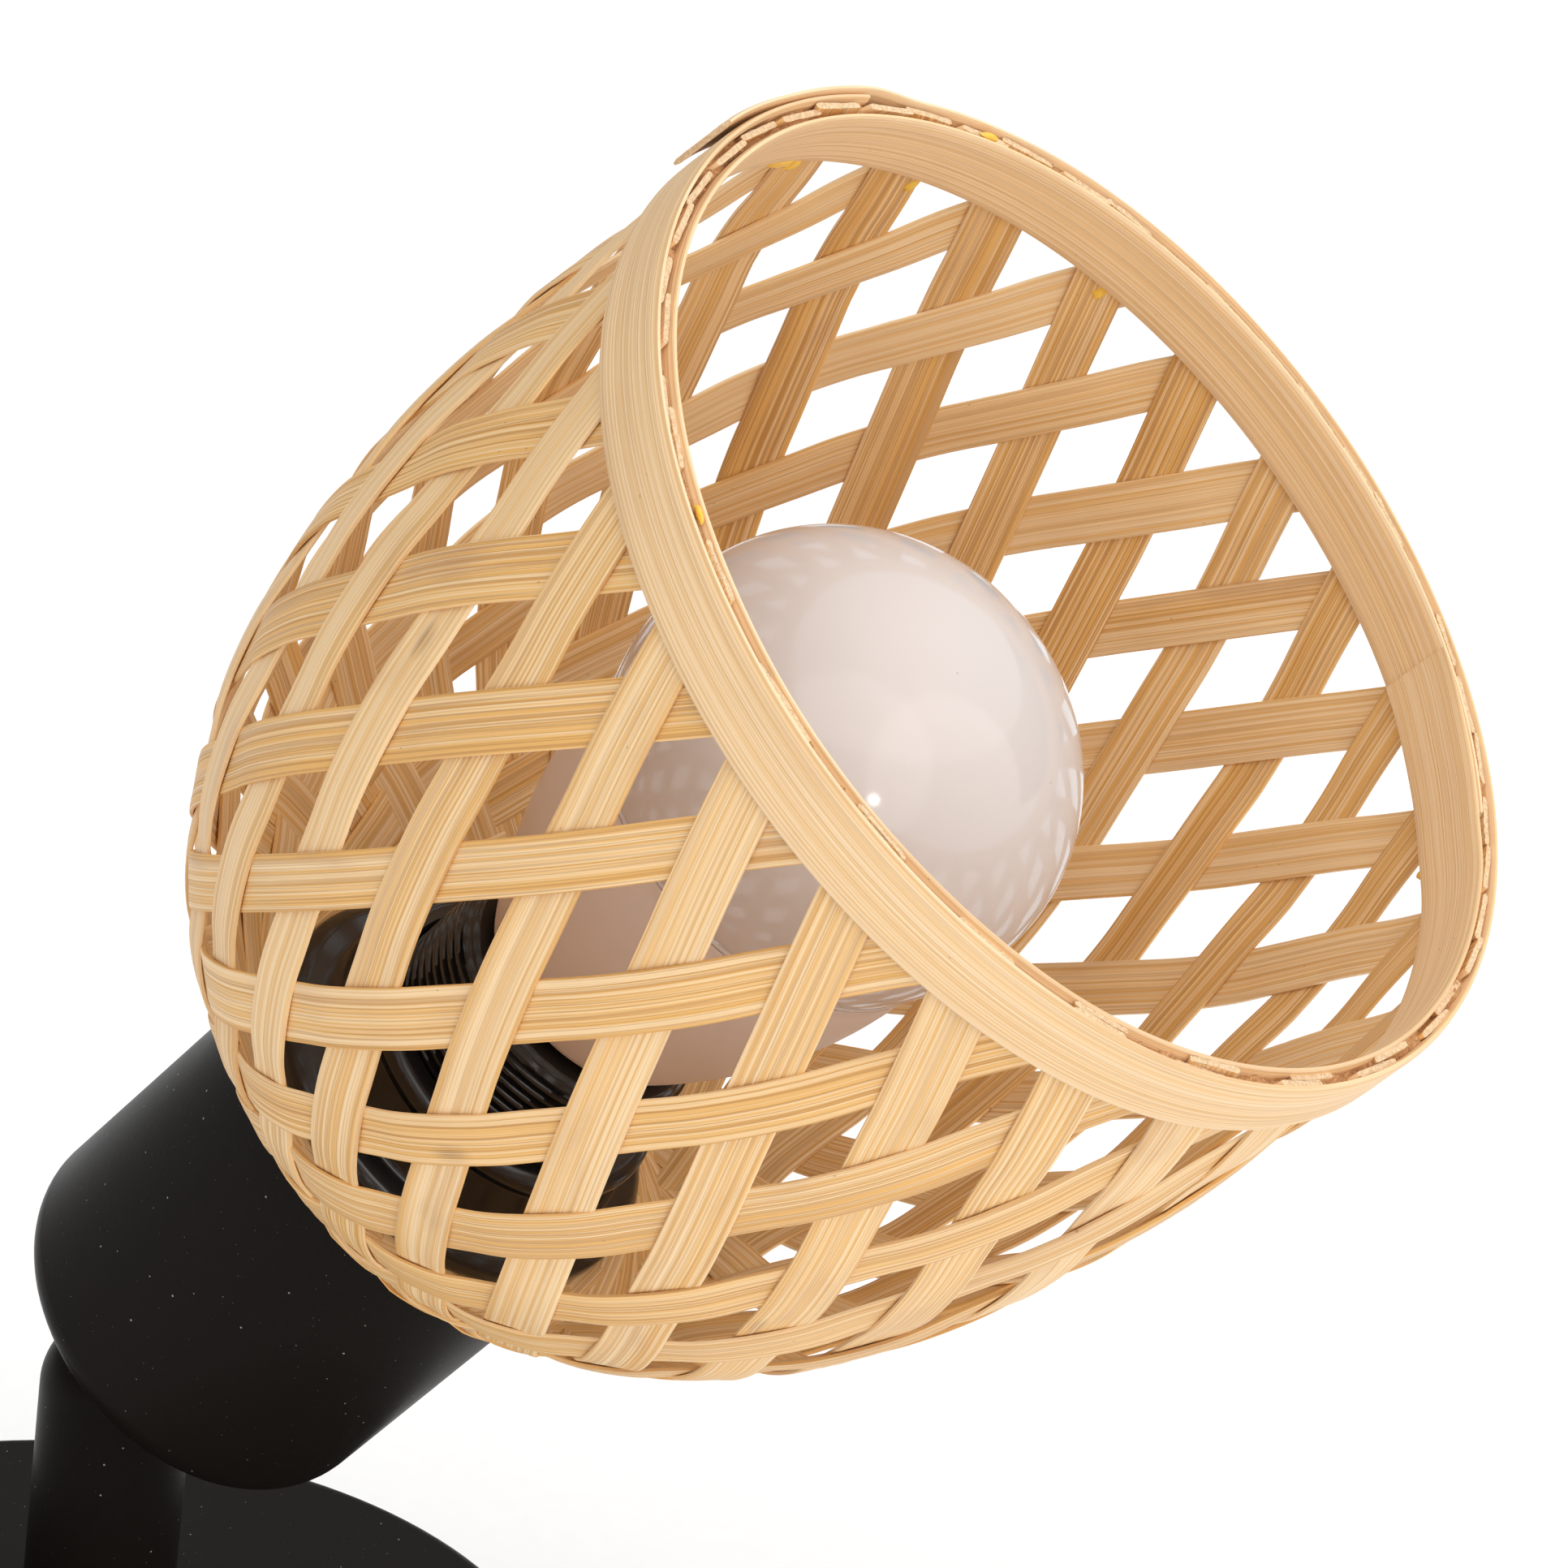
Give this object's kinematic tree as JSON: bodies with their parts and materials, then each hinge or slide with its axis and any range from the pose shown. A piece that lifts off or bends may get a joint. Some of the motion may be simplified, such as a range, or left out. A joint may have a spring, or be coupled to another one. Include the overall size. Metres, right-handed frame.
{
  "type": "basket-shade spotlight",
  "caption": "Wall or ceiling spotlight: round canopy, swivelling arm, tilting black cup with a screw-in globe bulb and an open woven bamboo basket shade.",
  "frame": {"origin": "centre of the canopy's open face, on the plane of the wall", "axes": "+Z out of the wall along the arm; the lamp head leans towards +X; +Y completes a right-handed frame"},
  "size_m": [0.1904, 0.1028, 0.2082],
  "materials": {
    "black_paint": "satin black powder coat with fine dust specks",
    "black_screw": "blackened steel",
    "zinc_steel": "bright zinc plate",
    "contact_brass": "plain brass",
    "grommet_rubber": "soft matt rubber",
    "terminal_plastic": "natural nylon",
    "nylon": "smooth nylon",
    "holder_plastic": "glossy black thermoplastic",
    "insert_plastic": "cream heat-proof moulding",
    "bamboo": "split bamboo strip, dry and unvarnished, with long fibres",
    "bamboo_band": "wide planed bamboo band",
    "solder": "dull solder",
    "insulator_glass": "black glass",
    "cap_nickel": "nickel-plated shell",
    "bulb_plastic": "opaque warm white body",
    "circuit_board": "green board",
    "board_aluminium": "aluminium board",
    "bulb_globe": "glossy milky globe"
  },
  "bodies": {
    "base": {"wall_plate": "zinc_steel", "cable_grommet": "grommet_rubber", "terminal_block": "terminal_plastic", "terminal_screws": "contact_brass", "earth_screw": "contact_brass", "canopy": "black_paint", "canopy_screws": "black_screw", "stop_pin": "zinc_steel"},
    "arm": {"arm_tube": "black_paint", "arm_bush": "zinc_steel", "arm_nipple": "zinc_steel", "friction_washer": "nylon", "stop_plate": "zinc_steel", "wave_washer": "zinc_steel", "arm_nut": "zinc_steel"},
    "head": {"tilt_saddle": "black_paint", "tilt_nipple": "zinc_steel", "inner_saddle": "zinc_steel", "spring_washer": "zinc_steel", "tilt_nut": "zinc_steel", "holder_cup": "black_paint", "cup_lock_washer": "zinc_steel", "cup_nut": "zinc_steel", "holder_cap": "holder_plastic", "lampholder": "holder_plastic", "holder_insert": "insert_plastic", "insert_screws": "contact_brass", "socket_shell": "contact_brass", "centre_contact": "contact_brass", "shade_ring": "holder_plastic", "shade_basket": "bamboo", "outer_band": "bamboo_band", "inner_band": "bamboo_band", "bulb_contact": "solder", "bulb_insulator": "insulator_glass", "bulb_cap": "cap_nickel", "bulb_body": "bulb_plastic", "driver_board": "circuit_board", "led_board": "board_aluminium", "bulb_globe": "bulb_globe"}
  },
  "joints": [
    {"name": "arm_swivel", "type": "hinge", "parent": "base", "child": "arm", "pos_m": [0, 0, 0.024], "axis": [0, 0, 1], "range_deg": [-165, 165]},
    {"name": "head_tilt", "type": "hinge", "parent": "arm", "child": "head", "pos_m": [0, 0, 0.055], "axis": [0, 1, 0], "range_deg": [-40, 50]}
  ]
}
